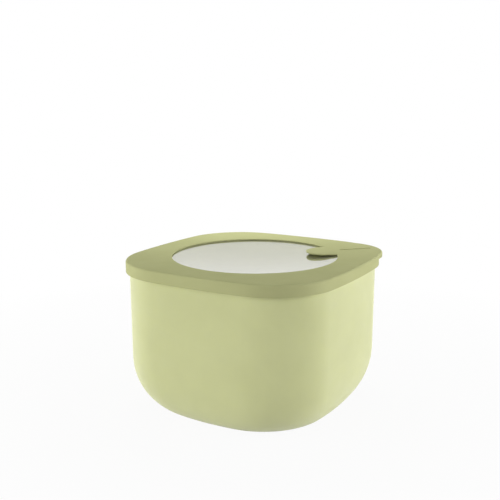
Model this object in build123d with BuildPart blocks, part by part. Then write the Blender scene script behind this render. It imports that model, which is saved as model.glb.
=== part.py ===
from build123d import *
import os
from math import cos, pi, sin, sqrt

# Airtight food keeper: a soft-cornered square tub and a press-on lid.
# The lid is a soft frame moulded round a see-through panel, with a seal under it and a vent at one corner.
# The origin is on the table under the middle of the tub, +Z is up, and the vent points along +X +Y.

# Overall plan and height
lid_width = 164.0
overall_height = 110.0
corner_radius = 48.0
side_radius = 480.0

# Tub
tub_inset = 2.8
tub_wall = 2.0
tub_floor = 2.4
tub_draft_share = 0.006
bowl_width = 20.2
bowl_height = 38.6
base_corner_share = 0.81
base_side_share = 3.0
rim_band_height = 9.0
rim_edge_radius = 0.7
foot_ring_width = 6.0
foot_ring_height = 0.8
snap_bead_depth = 0.3
snap_bead_height = 1.6
snap_bead_drop = 1.2

# Lid frame
skirt_depth = 8.2
skirt_wall = 2.0
frame_edge_radius = 1.4
snap_hook_depth = 0.2
snap_hook_height = 1.2
frame_ring_width = 21.3
frame_thickness = 1.35
window_edge_radius = 0.55
lip_reach = 4.0
lip_radius = 32.0
lip_blend_radius = 14.0
lip_thickness = 3.6
groove_width = 2.0
groove_depth = 0.8
groove_setback = 3.2
groove_margin = 2.6

# Window panel, whose round middle is a shallow dish
window_dish = 2.9
panel_thickness = 2.0
panel_inset = 8.2
plug_wall = 1.8
plug_depth = 5.3

# Rim seal
seal_seat_step = 0.5
seal_thickness = 1.6
seal_side_gap = 0.1
seal_leg_gap = 0.65
seal_leg_depth = 4.8
seal_rib_reach = 0.35
seal_rib_height = 0.9
seal_rib_shares = (0.3, 0.72)

# Vent flap, its plug and the vent hole
flap_head_setback = 7.5
flap_head_radius = 12.8
flap_thickness = 1.05
flap_root_width = 28.6
flap_root_length = 4.1
flap_edge_radius = 0.4
hinge_setback = 2.3
hinge_gap = 0.3
vent_hole_radius = 3.4
plug_top_radius = 2.9
plug_tip_radius = 2.5
plug_tip_drop = 0.2
plug_stem_radius = 1.6
plug_stem_length = 0.5
plug_stem_gap = 0.05

# Number of plans that the tub's bowl is drawn through, and how late its corners turn square
bowl_steps = 8
corner_blend_power = 3

# Every cut runs this far past the face that it opens
overrun = 1.0

# How closely a point must lie on the thumb lip's circle to count as being on it
touch_share = 0.001

# Heights, from the top of the lid down to the rim of the tub
panel_top = overall_height - frame_thickness
panel_bottom = panel_top - panel_thickness
window_middle = panel_top - window_dish
seal_top = panel_top - seal_seat_step
rim_height = seal_top - seal_thickness
skirt_bottom = overall_height - skirt_depth
flap_bottom = overall_height - flap_thickness
hinge_height = overall_height - flap_thickness / 2


def corner_centre(half_width, corner, side):
    """How far the centre of a corner arc lies from the two middle planes of a soft square."""
    side_offset = side - half_width
    side_reach = side - corner
    return (sqrt(2 * side_reach**2 - side_offset**2) - side_offset) / 2


# Distances from the lid's axis, along the diagonal that the vent lies on
DIAGONAL = (1, 1, 0)
window_radius = lid_width / 2 - frame_ring_width
vent_reach = window_radius - flap_head_setback
hinge_reach = window_radius + hinge_setback
hinge_point = (hinge_reach / sqrt(2), hinge_reach / sqrt(2), hinge_height)
corner_reach = corner_centre(lid_width / 2, corner_radius, side_radius) * sqrt(2) + corner_radius
vent_rise = window_dish * (vent_reach / window_radius) ** 2
vent_bottom = window_middle + vent_rise - panel_thickness
groove_start = hinge_reach + groove_setback
groove_end = corner_reach - groove_margin


def soft_square(half_width, corner, side):
    """Four bowed sides of radius side that run smoothly into four corner arcs of radius corner."""
    centre = corner_centre(half_width, corner, side)
    side_offset = side - half_width
    stretch = side / (side - corner)
    joint_x = (centre + side_offset) * stretch - side_offset
    joint_y = centre * stretch
    corner_middle = centre + corner / sqrt(2)
    points = [
        Vector(joint_x, -joint_y),
        Vector(half_width, 0),
        Vector(joint_x, joint_y),
        Vector(corner_middle, corner_middle),
        Vector(joint_y, joint_x),
    ]
    with BuildSketch() as outline:
        with BuildLine():
            for turn in (0, 90, 180, 270):
                start, side_middle, joint, middle, end = [p.rotate(Axis.Z, turn) for p in points]
                ThreePointArc(start, side_middle, joint)
                ThreePointArc(joint, middle, end)
        make_face()
    return outline.sketch


def lid_outline(inset):
    """The lid's plan, drawn in by inset all round."""
    return soft_square(lid_width / 2 - inset, corner_radius - inset, side_radius - inset)


def lid_band(outer_inset, inner_inset):
    """A closed band that follows the lid's plan between two insets."""
    with BuildSketch() as band:
        add(lid_outline(outer_inset))
        add(lid_outline(inner_inset), mode=Mode.SUBTRACT)
    return band.sketch


def tub_sections(inset, floor):
    """Heights and plans of the tub: a rounded bowl below, then a square wall with a slight draft."""
    rise_width = bowl_width - inset
    rise_height = bowl_height - floor
    wall_height = rim_height - rim_band_height - bowl_height
    wall_draft = tub_draft_share * wall_height
    wall_inset = tub_inset + inset + wall_draft
    base_half_width = lid_width / 2 - wall_inset - rise_width
    base_corner = base_half_width * base_corner_share
    base_side = base_half_width * base_side_share
    sections = []
    for step in range(bowl_steps):
        angle = pi / 2 * step / bowl_steps
        rise = sin(angle)
        squareness = rise**corner_blend_power
        half_width = base_half_width + rise_width * rise
        corner = base_corner * (1 - squareness) + (corner_radius - wall_inset) * squareness
        side = base_side * (1 - squareness) + (side_radius - wall_inset) * squareness
        height = floor + rise_height * (1 - cos(angle))
        sections.append((height, soft_square(half_width, corner, side)))
    # The plans follow each other at about the same distance up the bowl and up the wall.
    wall_steps = round(wall_height / (rise_height * pi / 2 / bowl_steps))
    for step in range(wall_steps + 1):
        climbed = step / wall_steps
        height = bowl_height + wall_height * climbed
        sections.append((height, lid_outline(wall_inset - wall_draft * climbed)))
    return sections


def vent_plane(height):
    """A level plane whose x axis runs from the lid's axis out to the vent's corner."""
    return Plane(origin=(0, 0, height), x_dir=DIAGONAL, z_dir=(0, 0, 1))


def flap_outline(root_reach, gap):
    """A round-headed tongue that widens to a straight root at root_reach, drawn out by gap all round."""
    head = flap_head_radius + gap
    half_root = flap_root_width / 2 + gap
    flare = hinge_reach - flap_root_length
    # The slanting sides run from the root and touch the round head.
    run = flare - vent_reach
    span = sqrt(run**2 + half_root**2)
    along = (head * run - half_root * sqrt(span**2 - head**2)) * head / span**2
    across = sqrt(head**2 - along**2)
    left_touch = (vent_reach + along, across)
    right_touch = (vent_reach + along, -across)
    with BuildSketch() as outline:
        with BuildLine():
            Polyline(
                left_touch,
                (flare, half_root),
                (root_reach, half_root),
                (root_reach, -half_root),
                (flare, -half_root),
                right_touch,
            )
            ThreePointArc(right_touch, (vent_reach - head, 0), left_touch)
        make_face()
    return outline.sketch


def on_lip_circle(corner, centre):
    """Whether a corner of the lid's plan lies on the thumb lip's circle."""
    distance = Vector(corner.X - centre.X, corner.Y - centre.Y).length
    return abs(distance / lip_radius - 1) < touch_share


os.makedirs("parts", exist_ok=True)

# Tub: one thin moulding with a rounded bowl, a foot ring and a bead that the lid snaps over
with BuildPart() as container_body:
    for height, outline in tub_sections(0, 0):
        with BuildSketch(Plane.XY.offset(height)):
            add(outline)
    loft()
    with BuildSketch(Plane.XY.offset(rim_height - rim_band_height)):
        add(lid_outline(tub_inset))
    extrude(amount=rim_band_height)
    with BuildSketch(Plane.XY.offset(rim_height - snap_bead_drop - snap_bead_height)):
        add(lid_outline(tub_inset - snap_bead_depth))
    extrude(amount=snap_bead_height)
    for height, outline in tub_sections(tub_wall, tub_floor):
        with BuildSketch(Plane.XY.offset(height)):
            add(outline)
    loft(mode=Mode.SUBTRACT)
    with BuildSketch(Plane.XY.offset(rim_height - rim_band_height)):
        add(lid_outline(tub_inset + tub_wall))
    extrude(amount=rim_band_height, mode=Mode.SUBTRACT)
    rim_face = container_body.faces().filter_by(Axis.Z).sort_by(Axis.Z)[-1]
    fillet(rim_face.edges(), rim_edge_radius)
    base_face = container_body.faces().filter_by(Axis.Z).sort_by(Axis.Z)[0]
    with BuildSketch(Plane.XY):
        Circle(base_face.bounding_box().size.X / 2 - foot_ring_width)
    extrude(amount=foot_ring_height, mode=Mode.SUBTRACT)
container_body.part.label = "container_body"
export_step(container_body.part, "parts/container_body.step")

# Lid frame: soft top ring and skirt, with a thumb lip at the vent's corner and a fine groove behind the vent
lip_middle = (corner_reach + lip_reach - lip_radius) / sqrt(2)
with BuildPart() as lid_frame:
    with BuildSketch(Plane.XY.offset(skirt_bottom)):
        add(lid_outline(0))
    extrude(amount=skirt_depth)
    with BuildSketch(Plane.XY.offset(overall_height - lip_thickness)) as lip_plan:
        add(lid_outline(0))
        with Locations((lip_middle, lip_middle)):
            Circle(lip_radius)
        lip_centre = Vector(lip_middle, lip_middle)
        lip_ends = [v for v in lip_plan.vertices() if on_lip_circle(v, lip_centre)]
        fillet(lip_ends, lip_blend_radius)
    extrude(amount=lip_thickness)
    fillet(lid_frame.faces().sort_by(Axis.Z)[-1].edges(), frame_edge_radius)
    # Room for the tub's rim and the seal, a little narrower at the foot where the skirt snaps under the bead
    with BuildSketch(Plane.XY.offset(skirt_bottom)):
        add(lid_outline(skirt_wall + snap_hook_depth))
    extrude(amount=snap_hook_height, mode=Mode.SUBTRACT)
    with BuildSketch(Plane.XY.offset(skirt_bottom + snap_hook_height)):
        add(lid_outline(skirt_wall))
    extrude(amount=seal_top - skirt_bottom - snap_hook_height, mode=Mode.SUBTRACT)
    # Bed of the window panel, then the round opening above it, whose edges are rounded above and below
    with BuildSketch(Plane.XY.offset(seal_top)):
        add(lid_outline(panel_inset))
    extrude(amount=seal_seat_step, mode=Mode.SUBTRACT)
    with BuildSketch(Plane.XY.offset(panel_top)):
        Circle(window_radius)
    extrude(amount=frame_thickness + overrun, mode=Mode.SUBTRACT)
    fillet(lid_frame.edges(Select.LAST).filter_by(GeomType.CIRCLE), window_edge_radius)
    # Notch that the root of the flap turns in
    with BuildSketch(vent_plane(panel_top)):
        add(flap_outline(hinge_reach + flap_thickness / 2 + hinge_gap, hinge_gap))
    extrude(amount=frame_thickness + overrun, mode=Mode.SUBTRACT)
    # Groove from behind the vent towards the corner
    with BuildSketch(vent_plane(overall_height - groove_depth)):
        with Locations(((groove_start + groove_end) / 2, 0)):
            SlotOverall(groove_end - groove_start, groove_width)
    extrude(amount=groove_depth + overrun, mode=Mode.SUBTRACT)
lid_frame.part.label = "lid_frame"
export_step(lid_frame.part, "parts/lid_frame.step")

# Window panel: a flange held under the frame, a dished round middle, a wall that backs the seal, a vent hole
dish_bottom = window_middle - panel_thickness
with BuildPart() as lid_window:
    with BuildSketch(Plane.XY.offset(panel_bottom)):
        add(lid_outline(panel_inset))
        Circle(window_radius, mode=Mode.SUBTRACT)
    extrude(amount=panel_thickness)
    with BuildSketch(Plane.XZ):
        with BuildLine():
            Line((0, dish_bottom), (0, window_middle))
            TangentArc((0, window_middle), (window_radius, panel_top), tangent=(1, 0))
            Line((window_radius, panel_top), (window_radius, panel_bottom))
            TangentArc((0, dish_bottom), (window_radius, panel_bottom), tangent=(1, 0))
        make_face()
    revolve(axis=Axis.Z)
    with BuildSketch(Plane.XY.offset(panel_bottom - plug_depth)):
        add(lid_band(panel_inset, panel_inset + plug_wall))
    extrude(amount=plug_depth)
    with BuildSketch(vent_plane(flap_bottom)):
        with Locations((vent_reach, 0)):
            Circle(vent_hole_radius)
    extrude(amount=flap_bottom - vent_bottom + overrun, dir=(0, 0, -1), mode=Mode.SUBTRACT)
lid_window.part.label = "lid_window"
export_step(lid_window.part, "parts/lid_window.step")

# Rim seal: a flat ring that rests on the tub's rim and a ribbed leg inside the tub's wall
seal_leg_inset = tub_inset + tub_wall + seal_leg_gap
with BuildPart() as rim_seal:
    with BuildSketch(Plane.XY.offset(rim_height)):
        add(lid_band(skirt_wall + seal_side_gap, panel_inset))
    extrude(amount=seal_thickness)
    with BuildSketch(Plane.XY.offset(rim_height - seal_leg_depth)):
        add(lid_band(seal_leg_inset, panel_inset))
    extrude(amount=seal_leg_depth)
    for drop_share in seal_rib_shares:
        with BuildSketch(Plane.XY.offset(rim_height - seal_leg_depth * drop_share)):
            add(lid_band(seal_leg_inset - seal_rib_reach, panel_inset))
        extrude(amount=-seal_rib_height)
rim_seal.part.label = "rim_seal"
export_step(rim_seal.part, "parts/rim_seal.step")

# Vent flap: a flat tongue with a round root on the hinge line and a socket for the plug
with BuildPart() as vent_flap:
    with BuildSketch(vent_plane(flap_bottom)):
        add(flap_outline(hinge_reach, 0))
    extrude(amount=flap_thickness)
    for flat_face in vent_flap.faces().filter_by(Axis.Z):
        fillet(flat_face.edges().sort_by(Axis((0, 0, 0), DIAGONAL))[:-1], flap_edge_radius)
    with BuildSketch(Plane(origin=hinge_point, x_dir=DIAGONAL, z_dir=(1, -1, 0))):
        Circle(flap_thickness / 2)
    extrude(amount=flap_root_width / 2, both=True)
    with BuildSketch(vent_plane(flap_bottom)):
        with Locations((vent_reach, 0)):
            Circle(plug_stem_radius + plug_stem_gap)
    extrude(amount=plug_stem_length + plug_stem_gap, mode=Mode.SUBTRACT)
vent_flap.part.label = "vent_flap"
export_step(vent_flap.part, "parts/vent_flap.step")

# Vent plug: a tapered stopper that hangs in the vent hole, with a stem in the flap's socket
with BuildPart() as vent_plug:
    for height, radius in ((flap_bottom, plug_top_radius), (vent_bottom - plug_tip_drop, plug_tip_radius)):
        with BuildSketch(vent_plane(height)):
            with Locations((vent_reach, 0)):
                Circle(radius)
    loft()
    with BuildSketch(vent_plane(flap_bottom)):
        with Locations((vent_reach, 0)):
            Circle(plug_stem_radius)
    extrude(amount=plug_stem_length)
vent_plug.part.label = "vent_plug"
export_step(vent_plug.part, "parts/vent_plug.step")
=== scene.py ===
import math

import bmesh
import bpy
from mathutils import Matrix, Vector


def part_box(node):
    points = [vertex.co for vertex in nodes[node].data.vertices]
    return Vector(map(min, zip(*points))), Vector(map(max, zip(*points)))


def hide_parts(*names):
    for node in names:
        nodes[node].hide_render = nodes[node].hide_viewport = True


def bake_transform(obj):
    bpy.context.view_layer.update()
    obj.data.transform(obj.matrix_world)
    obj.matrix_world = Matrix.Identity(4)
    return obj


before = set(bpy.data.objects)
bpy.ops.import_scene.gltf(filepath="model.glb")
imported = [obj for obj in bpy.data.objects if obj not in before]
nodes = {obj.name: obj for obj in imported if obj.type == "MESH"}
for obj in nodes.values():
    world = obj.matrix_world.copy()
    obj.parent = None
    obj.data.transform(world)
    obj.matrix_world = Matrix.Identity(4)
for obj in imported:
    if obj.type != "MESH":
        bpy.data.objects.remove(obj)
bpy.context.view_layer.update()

MM = 0.001
DIAGONAL = Vector((1, 1, 0)).normalized()  # from the lid's middle to the vent's corner
ACROSS = Vector((-1, 1, 0)).normalized()


# Materials
CLOUD_SCALE = 28.0
SMEAR_SCALE = 90.0
SMEAR_SPREAD = 0.04
GRAIN_STRENGTH = 0.35


def srgb(red, green, blue):
    """Linear colour of an sRGB one in 0 to 255."""
    out = []
    for c in (red, green, blue):
        c /= 255
        out.append(c / 12.92 if c <= 0.04045 else ((c + 0.055) / 1.055) ** 2.4)
    return (*out, 1.0)


class Nodes:
    """A material's node tree with short ways to add and join nodes."""

    def __init__(self, name):
        self.material = bpy.data.materials.new(name)
        self.material.use_nodes = True
        self.tree = self.material.node_tree
        self.shader = self.tree.nodes["Principled BSDF"]
        self.coords = self.tree.nodes.new("ShaderNodeTexCoord").outputs["Object"]

    def add(self, kind, **inputs):
        node = self.tree.nodes.new(kind)
        for key, value in inputs.items():
            node.inputs[key.replace("_", " ")].default_value = value
        return node

    def join(self, out, into):
        self.tree.links.new(out, into)

    def feed(self, out, key):
        """Joins an output to an input of the shader."""
        self.join(out, self.shader.inputs[key])

    def noise(self, scale, detail, rough):
        node = self.add("ShaderNodeTexNoise", Scale=scale, Detail=detail, Roughness=rough)
        self.join(self.coords, node.inputs["Vector"])
        return node.outputs["Fac"]

    def spread(self, fac, low, high):
        """A number that runs from low to high over the middle third of a noise's range."""
        node = self.add("ShaderNodeMapRange", From_Min=0.35, From_Max=0.65, To_Min=low, To_Max=high)
        self.join(fac, node.inputs["Value"])
        return node.outputs["Result"]

    def mix(self, fac, first, second):
        node = self.tree.nodes.new("ShaderNodeMix")
        node.data_type = "RGBA"
        self.join(fac, node.inputs["Factor"])
        # The first sockets called A and B are those for plain numbers.
        node.inputs[6].default_value = first
        node.inputs[7].default_value = second
        return node.outputs[2]

    def bump(self, height, strength, distance):
        node = self.add("ShaderNodeBump", Strength=strength, Distance=distance)
        self.join(height, node.inputs["Height"])
        return node.outputs["Normal"]

    def set(self, **inputs):
        for key, value in inputs.items():
            self.shader.inputs[key.replace("_", " ")].default_value = value


def moulded(name, pale, deep, rough, grain_scale, grain_depth, **constants):
    """A moulded matte plastic.

    It has two close tones in broad clouds, a fine grain, and a roughness that varies a little.
    """
    n = Nodes(name)
    clouds = n.noise(CLOUD_SCALE, 3.0, 0.55)
    n.feed(n.mix(n.spread(clouds, 0.0, 1.0), deep, pale), "Base Color")
    grain = n.noise(grain_scale, 2.0, 0.6)
    smear = n.noise(SMEAR_SCALE, 4.0, 0.6)
    n.feed(n.spread(smear, rough - SMEAR_SPREAD, rough + SMEAR_SPREAD), "Roughness")
    n.feed(n.bump(grain, GRAIN_STRENGTH, grain_depth), "Normal")
    n.set(**constants)
    return n.material


def clear_panel(name):
    """A glossy clear moulding.

    It has faint clouds in its tint and its polish, and the slow waves of a moulded face.
    """
    n = Nodes(name)
    clouds = n.noise(22.0, 2.0, 0.5)
    n.feed(n.mix(n.spread(clouds, 0.0, 1.0), srgb(236, 237, 198), srgb(240, 241, 204)), "Base Color")
    smear = n.noise(60.0, 4.0, 0.6)
    n.feed(n.spread(smear, 0.02, 0.05), "Roughness")
    waves = n.noise(40.0, 1.0, 0.5)
    n.feed(n.bump(waves, 0.2, 0.00001), "Normal")
    n.set(Transmission_Weight=0.78, IOR=1.57, Coat_Weight=0.58, Coat_IOR=1.5, Coat_Roughness=0.02)
    return n.material


TUB = moulded(
    "tub_plastic", srgb(210, 213, 162), srgb(206, 209, 158), 0.42, 2600.0, 0.00002,
    Diffuse_Roughness=1.0, Specular_IOR_Level=0.5,
    Subsurface_Weight=0.35, Subsurface_Scale=0.004, Subsurface_Radius=(1.0, 1.0, 0.7),
)
FRAME = moulded(
    "frame_soft_touch", srgb(168, 170, 123), srgb(164, 166, 119), 0.92, 3200.0, 0.00002,
    Specular_IOR_Level=0.5,
)
SEAL = moulded(
    "seal_rubber", srgb(206, 207, 196), srgb(200, 202, 190), 0.55, 3000.0, 0.00001,
    Specular_IOR_Level=0.4, Subsurface_Weight=0.2, Subsurface_Scale=0.002,
)
WINDOW = clear_panel("window_clear")


def clothe(node, material):
    """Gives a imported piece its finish."""
    mesh = nodes[node].data
    mesh.materials.clear()
    mesh.materials.append(material)


clothe("container_body", TUB)
clothe("lid_frame", FRAME)
clothe("lid_window", WINDOW)
clothe("rim_seal", SEAL)
clothe("vent_plug", SEAL)


# Vent flap: a soft tongue whose root runs on into the frame.
# It follows the lid's sizes, which are in millimetres.
LID_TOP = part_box("lid_frame")[1].z / MM
FLAP_THICKNESS = 1.05
FLAP_BOTTOM = LID_TOP - FLAP_THICKNESS
FLAP_EDGE_RADIUS = 0.4
WINDOW_RADIUS = 60.7
WINDOW_EDGE_RADIUS = 0.55
HEAD_RADIUS = 12.8
HEAD_REACH = 53.2
NOTCH_HALF_WIDTH = 14.6
NOTCH_REACH = 63.825
SHARP_ANGLE = math.radians(35)

HEAD_STEPS = 40
SIDE_STEPS = 12
ROOT_STEPS = 24
EDGE_STEPS = 6


def flap_outline():
    """(along, across, edge share) from the root round the tip and back to the root.

    The share says how much the flap's edges are rounded there.
    """
    flare = math.sqrt(WINDOW_RADIUS**2 - NOTCH_HALF_WIDTH**2)
    run = flare - HEAD_REACH
    touch = math.atan2(NOTCH_HALF_WIDTH, run) + math.acos(HEAD_RADIUS / math.hypot(run, NOTCH_HALF_WIDTH))
    half = []
    for i in range(1, HEAD_STEPS + 1):
        angle = math.pi - (math.pi - touch) * i / HEAD_STEPS
        half.append((HEAD_REACH + HEAD_RADIUS * math.cos(angle), HEAD_RADIUS * math.sin(angle), 1.0))
    head_along, head_across, _ = half[-1]
    for i in range(1, SIDE_STEPS + 1):
        t = i / SIDE_STEPS
        along = head_along + (flare - head_along) * t
        across = head_across + (NOTCH_HALF_WIDTH - head_across) * t
        half.append((along, across, 1.0))
    for i in range(1, ROOT_STEPS + 1):
        gone = (NOTCH_REACH - flare) * i / ROOT_STEPS
        half.append((flare + gone, NOTCH_HALF_WIDTH, max(0.0, 1 - gone / WINDOW_EDGE_RADIUS)))
    tip = (HEAD_REACH - HEAD_RADIUS, 0.0, 1.0)
    return half[::-1] + [tip] + [(along, -across, share) for along, across, share in half]


def flap_levels():
    """(inset, height) of the flap's rims from its bottom up, with both edges rounded."""
    levels = []
    for i in range(EDGE_STEPS + 1):
        angle = math.pi / 2 * i / EDGE_STEPS
        levels.append((1 - math.sin(angle), FLAP_BOTTOM + FLAP_EDGE_RADIUS * (1 - math.cos(angle))))
    for i in range(EDGE_STEPS + 1):
        angle = math.pi / 2 * i / EDGE_STEPS
        levels.append((1 - math.cos(angle), LID_TOP - FLAP_EDGE_RADIUS * (1 - math.sin(angle))))
    return [(FLAP_EDGE_RADIUS * inset, height) for inset, height in levels]


def inward(outline, i):
    """The level direction that points into the flap at a point of its outline."""
    before, after = outline[max(i - 1, 0)], outline[min(i + 1, len(outline) - 1)]
    return Vector((before[1] - after[1], after[0] - before[0])).normalized()


def flap_mesh():
    outline = flap_outline()
    count = len(outline)
    bm = bmesh.new()
    rims = []
    for inset, height in flap_levels():
        rim = []
        for i, (along, across, share) in enumerate(outline):
            shift = inward(outline, i) * inset * share
            point = DIAGONAL * (along + shift.x) + ACROSS * (across + shift.y)
            rim.append(bm.verts.new((point.x * MM, point.y * MM, height * MM)))
        rims.append(rim)
    for low, high in zip(rims, rims[1:]):
        for i in range(count):
            after = (i + 1) % count
            bm.faces.new((low[i], low[after], high[after], high[i]))
    # The top and the bottom are strips across the flap.
    middle = count // 2
    for rim in (rims[0], rims[-1]):
        bm.faces.new((rim[middle - 1], rim[middle], rim[middle + 1]))
        for i in range(1, middle):
            bm.faces.new((rim[middle - i - 1], rim[middle - i], rim[middle + i], rim[middle + i + 1]))
    bmesh.ops.recalc_face_normals(bm, faces=bm.faces)
    mesh = bpy.data.meshes.new("vent_tongue")
    bm.to_mesh(mesh)
    bm.free()
    for polygon in mesh.polygons:
        polygon.use_smooth = True
    mesh.set_sharp_from_angle(angle=SHARP_ANGLE)
    return mesh


def make_flap():
    mesh = flap_mesh()
    mesh.materials.append(FRAME)
    tongue = bpy.data.objects.new("vent_tongue", mesh)
    bpy.context.scene.collection.objects.link(tongue)
    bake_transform(tongue)
    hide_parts("vent_flap")


make_flap()


# Stage: a pale floor that keeps the shadow, soft boxes round the object, and a white surround
FLOOR_HALF_WIDTH = 4.0
FLOOR_DROP = 0.0003
PAPER_TONE = 0.6
# The floor's share of white at two distances from its middle
NEAR, NEAR_WHITE = 0.12, 0.94
FAR, FAR_WHITE = 0.4, 1.0
FILL_LEVEL = 0.03


def white_seen(tree):
    """A number for the surround: 1 where the camera, a gloss or a clear piece shows it, 0 for its light."""
    path = tree.nodes.new("ShaderNodeLightPath")
    seen = path.outputs["Is Camera Ray"]
    for kind in ("Is Glossy Ray", "Is Transmission Ray"):
        either = tree.nodes.new("ShaderNodeMath")
        either.operation = "MAXIMUM"
        tree.links.new(seen, either.inputs[0])
        tree.links.new(path.outputs[kind], either.inputs[1])
        seen = either.outputs[0]
    return seen


def floor_paper():
    """Pale paper, seen as nearly white: the rest of what shows is its own tone, with the shadow."""
    material = bpy.data.materials.new("floor_paper")
    material.use_nodes = True
    tree = material.node_tree
    tree.nodes.remove(tree.nodes["Principled BSDF"])
    out = tree.nodes["Material Output"]
    paper = tree.nodes.new("ShaderNodeBsdfDiffuse")
    paper.inputs["Color"].default_value = (PAPER_TONE, PAPER_TONE, PAPER_TONE, 1)
    white = tree.nodes.new("ShaderNodeEmission")
    place = tree.nodes.new("ShaderNodeTexCoord")
    away = tree.nodes.new("ShaderNodeVectorMath")
    away.operation = "LENGTH"
    tree.links.new(place.outputs["Object"], away.inputs[0])
    share = tree.nodes.new("ShaderNodeMapRange")
    for key, value in (("From Min", NEAR), ("From Max", FAR), ("To Min", NEAR_WHITE), ("To Max", FAR_WHITE)):
        share.inputs[key].default_value = value
    tree.links.new(away.outputs["Value"], share.inputs["Value"])
    level = tree.nodes.new("ShaderNodeMath")
    level.operation = "MULTIPLY"
    tree.links.new(share.outputs["Result"], level.inputs[0])
    tree.links.new(white_seen(tree), level.inputs[1])
    mix = tree.nodes.new("ShaderNodeMixShader")
    tree.links.new(level.outputs[0], mix.inputs["Fac"])
    tree.links.new(paper.outputs[0], mix.inputs[1])
    tree.links.new(white.outputs[0], mix.inputs[2])
    tree.links.new(mix.outputs[0], out.inputs["Surface"])
    return material


def stage_floor():
    bm = bmesh.new()
    bmesh.ops.create_grid(bm, x_segments=1, y_segments=1, size=FLOOR_HALF_WIDTH)
    mesh = bpy.data.meshes.new("floor")
    bm.to_mesh(mesh)
    bm.free()
    mesh.materials.append(floor_paper())
    floor = bpy.data.objects.new("floor", mesh)
    floor.location.z = -FLOOR_DROP
    bpy.context.scene.collection.objects.link(floor)


stage_floor()


def stage_world():
    """A white surround to look at, whose light on the object is only a weak fill."""
    surround = bpy.data.worlds.new("studio")
    bpy.context.scene.world = surround
    surround.use_nodes = True
    tree = surround.node_tree
    tree.nodes.clear()
    out = tree.nodes.new("ShaderNodeOutputWorld")
    mix = tree.nodes.new("ShaderNodeMixShader")
    tree.links.new(white_seen(tree), mix.inputs["Fac"])
    for socket, strength in ((1, FILL_LEVEL), (2, 1.0)):
        background = tree.nodes.new("ShaderNodeBackground")
        background.inputs["Color"].default_value = (1, 1, 1, 1)
        background.inputs["Strength"].default_value = strength
        tree.links.new(background.outputs[0], mix.inputs[socket])
    tree.links.new(mix.outputs[0], out.inputs["Surface"])


stage_world()

# Lamps: places and sizes in metres, power in watts
OBJECT_MIDDLE = (0, 0, 0.06)
LID_BACK = (-0.03, 0.05, 0.11)
BIG_BOX = (0.8, 0.6)
STRIP = (0.3, 0.1)


def soft_box(name, place, aim, size, power):
    """A rectangular lamp; glossy and clear faces show the white surround in its stead."""
    lamp = bpy.data.lights.new(name, "AREA")
    lamp.shape = "RECTANGLE"
    lamp.size, lamp.size_y = size
    lamp.energy = power
    box = bpy.data.objects.new(name, lamp)
    direction = Vector(aim) - Vector(place)
    box.rotation_euler = direction.to_track_quat("-Z", "Y").to_euler()
    box.location = place
    box.visible_camera = False
    box.visible_glossy = False
    box.visible_transmission = False
    bpy.context.scene.collection.objects.link(box)


soft_box("left_box", (-0.566, -0.674, 0.247), OBJECT_MIDDLE, BIG_BOX, 9.6)
soft_box("right_box", (0.771, 0.41, 0.278), OBJECT_MIDDLE, BIG_BOX, 5.7)
soft_box("front_box", (0.865, -0.122, 0.278), OBJECT_MIDDLE, BIG_BOX, 3.9)
soft_box("top_box", (0, 0, 0.96), OBJECT_MIDDLE, BIG_BOX, 1.2)
soft_box("back_strip", (-0.09, 0.156, 0.25), LID_BACK, STRIP, 0.51)

# Camera, fitted to the photograph's outlines
SENSOR_WIDTH = 36.0
LENS = 56.7006
CAMERA_PLACE = (0.28698074, -0.48956568, 0.23041923)
RIGHT = Vector((0.85967236, 0.51084433, -0.00123053))
UP = Vector((-0.10224723, 0.17442541, 0.97934737))
LOOK = Vector((-0.50050869, 0.84179205, -0.20218112))


def place_camera():
    data = bpy.data.cameras.new("camera")
    data.sensor_width = SENSOR_WIDTH
    data.lens = LENS
    camera = bpy.data.objects.new("camera", data)
    turn = Matrix((RIGHT, UP, -LOOK)).transposed().to_4x4()
    camera.matrix_world = Matrix.Translation(CAMERA_PLACE) @ turn
    bpy.context.scene.collection.objects.link(camera)
    bpy.context.scene.camera = camera


place_camera()
bpy.context.scene.view_settings.view_transform = "Standard"
